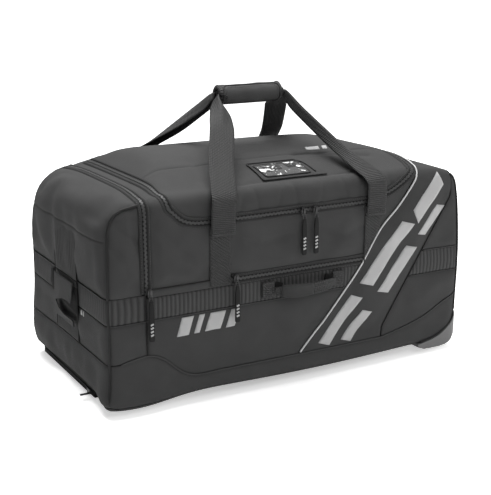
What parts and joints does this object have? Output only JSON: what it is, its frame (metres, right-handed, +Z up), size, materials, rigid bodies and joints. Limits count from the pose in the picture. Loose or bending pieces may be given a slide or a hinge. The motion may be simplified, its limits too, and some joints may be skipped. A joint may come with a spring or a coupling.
{
  "type": "wheeled equipment bag",
  "caption": "Wheeled soft bag with a zipped lid, zipped end flap, two carry straps with a wrapped grip, side and end handles and a wheel pair.",
  "frame": {"origin": "on the floor under the middle of the whole bag", "axes": "+X towards the wheel end, -Y towards the front wall, +Z up"},
  "size_m": [0.8566, 0.489, 0.5904],
  "materials": {
    "fabric": "woven charcoal polyester, matt",
    "boot": "heavier coated woven base fabric",
    "graphic": "woven fabric with pale printed bars",
    "band": "ribbed webbing",
    "webbing": "woven strap webbing",
    "zip": "zip tape and coil",
    "slider": "die-cast slider, satin",
    "pull": "moulded cord pull",
    "window": "clear film over a dark card, glossy",
    "guard": "moulded grey plastic, fine texture",
    "board": "black sheet plastic",
    "tyre": "moulded wheel tread",
    "hub": "moulded hub",
    "steel": "plain steel"
  },
  "bodies": {
    "bag": {"base_boot": "boot", "base_board": "board", "base_skid": "board", "pull_end_panel": "fabric", "lower_panel_front": "fabric", "lower_panel_rear": "fabric", "band_front": "band", "band_rear": "band", "front_panel": "fabric", "rear_panel": "fabric", "bridge_panel": "fabric", "graphic_panel": "graphic", "wheel_end_panel": "fabric", "main_zip_chain": "zip", "end_zip_chain": "zip", "pocket_zip_chain": "zip", "front_pocket_lining": "band", "strap_anchor_front_left": "webbing", "strap_anchor_front_right": "webbing", "strap_anchor_rear_left": "webbing", "strap_anchor_rear_right": "webbing", "wheel_housing_front": "guard", "wheel_housing_rear": "guard", "wheel_axle_front": "steel", "wheel_axle_rear": "steel", "foot_sleeve": "zip", "foot_core": "board", "foot_zip_chain": "zip"},
    "lid": {"lid_panel": "fabric", "id_frame": "webbing", "id_window": "window"},
    "end_flap": {"end_flap_panel": "fabric"},
    "front_loop": {"front_strap_left": "webbing", "front_strap_right": "webbing", "front_grip_strap": "webbing", "grip_wrap": "webbing"},
    "rear_loop": {"rear_strap_left": "webbing", "rear_strap_right": "webbing", "rear_grip_strap": "webbing"},
    "grip_flap": {"grip_flap": "webbing"},
    "side_handle_front": {"side_handle_front": "webbing"},
    "side_handle_rear": {"side_handle_rear": "webbing"},
    "pull_handle": {"pull_handle": "band"},
    "main_left_slider": {"main_left_slider": "slider"},
    "main_left_pull": {"main_left_pull": "pull"},
    "main_right_slider": {"main_right_slider": "slider"},
    "main_right_pull": {"main_right_pull": "pull"},
    "pocket_slider": {"pocket_slider": "slider"},
    "pocket_pull": {"pocket_pull": "pull"},
    "end_slider": {"end_slider": "slider"},
    "end_pull": {"end_pull": "pull"},
    "foot_slider": {"foot_slider": "slider"},
    "foot_pull": {"foot_pull": "slider"},
    "wheel_front": {"tyre_front": "tyre", "wheel_hub_front": "hub", "wheel_bearing_front": "steel"},
    "wheel_rear": {"tyre_rear": "tyre", "wheel_hub_rear": "hub", "wheel_bearing_rear": "steel"}
  },
  "joints": [
    {"name": "lid_hinge", "type": "hinge", "parent": "bag", "child": "lid", "pos_m": [0, 0.175, 0.4345], "axis": [-1, 0, 0], "range_deg": [0, 90], "deforming": ["front_strap_left", "front_strap_right"]},
    {"name": "front_loop_swing", "type": "hinge", "parent": "bag", "child": "front_loop", "pos_m": [0, -0.225, 0.3565], "axis": [1, 0, 0], "range_deg": [0, 172]},
    {"name": "rear_loop_swing", "type": "hinge", "parent": "bag", "child": "rear_loop", "pos_m": [0, 0.225, 0.3565], "axis": [-1, 0, 0], "range_deg": [0, 172]},
    {"name": "grip_flap_hinge", "type": "hinge", "parent": "rear_loop", "child": "grip_flap", "pos_m": [0, 0.01367, 0.5875], "axis": [1, 0, 0], "range_deg": [0, 100]},
    {"name": "end_flap_hinge", "type": "hinge", "parent": "bag", "child": "end_flap", "pos_m": [-0.41425, 0, 0.235], "axis": [0, -1, 0], "range_deg": [0, 80]},
    {"name": "side_handle_front_swing", "type": "hinge", "parent": "bag", "child": "side_handle_front", "pos_m": [0.01575, -0.2286, 0.209], "axis": [1, 0, 0], "range_deg": [-30, 30]},
    {"name": "side_handle_rear_swing", "type": "hinge", "parent": "bag", "child": "side_handle_rear", "pos_m": [0.01575, 0.2286, 0.209], "axis": [1, 0, 0], "range_deg": [-30, 30]},
    {"name": "pull_handle_slack", "type": "slide", "parent": "bag", "child": "pull_handle", "axis": [-1, 0, 0], "range_m": [0, 0.012]},
    {"name": "main_left_slide", "type": "slide", "parent": "bag", "child": "main_left_slider", "axis": [1, 0, 0], "range_m": [-0.139, 0]},
    {"name": "main_right_slide", "type": "slide", "parent": "bag", "child": "main_right_slider", "axis": [1, 0, 0], "range_m": [0, 0.108]},
    {"name": "pocket_slide", "type": "slide", "parent": "bag", "child": "pocket_slider", "axis": [1, 0, 0], "range_m": [0, 0.25], "deforming": ["pocket_pull"]},
    {"name": "end_slide", "type": "slide", "parent": "bag", "child": "end_slider", "axis": [0, 0, 1], "range_m": [0, 0.13]},
    {"name": "foot_slide", "type": "slide", "parent": "bag", "child": "foot_slider", "axis": [0, 1, 0], "range_m": [0, 0.25]},
    {"name": "main_left_pull_swing", "type": "hinge", "parent": "main_left_slider", "child": "main_left_pull", "pos_m": [0.00975, -0.2305, 0.351], "axis": [-1, 0, 0], "range_deg": [0, 150]},
    {"name": "main_right_pull_swing", "type": "hinge", "parent": "main_right_slider", "child": "main_right_pull", "pos_m": [0.03775, -0.2305, 0.351], "axis": [-1, 0, 0], "range_deg": [0, 150]},
    {"name": "pocket_pull_swing", "type": "hinge", "parent": "pocket_slider", "child": "pocket_pull", "pos_m": [-0.14225, -0.2305, 0.235], "axis": [-1, 0, 0], "range_deg": [0, 150]},
    {"name": "end_pull_swing", "type": "hinge", "parent": "end_slider", "child": "end_pull", "pos_m": [-0.32575, -0.2305, 0.232], "axis": [-1, 0, 0], "range_deg": [0, 150]},
    {"name": "foot_pull_swing", "type": "hinge", "parent": "foot_slider", "child": "foot_pull", "pos_m": [-0.40675, -0.1005, 0.012], "axis": [0, 0, 1], "range_deg": [0, 90]},
    {"name": "wheel_front_spin", "type": "hinge", "parent": "bag", "child": "wheel_front", "pos_m": [0.35575, -0.168, 0.04], "axis": [0, 1, 0], "continuous": true},
    {"name": "wheel_rear_spin", "type": "hinge", "parent": "bag", "child": "wheel_rear", "pos_m": [0.35575, 0.168, 0.04], "axis": [0, 1, 0], "continuous": true}
  ],
  "couplings": [
    {"joint": "front_loop_swing", "follows": "lid_hinge", "ratio": 1.9},
    {"joint": "rear_loop_swing", "follows": "lid_hinge", "ratio": 1.9}
  ]
}
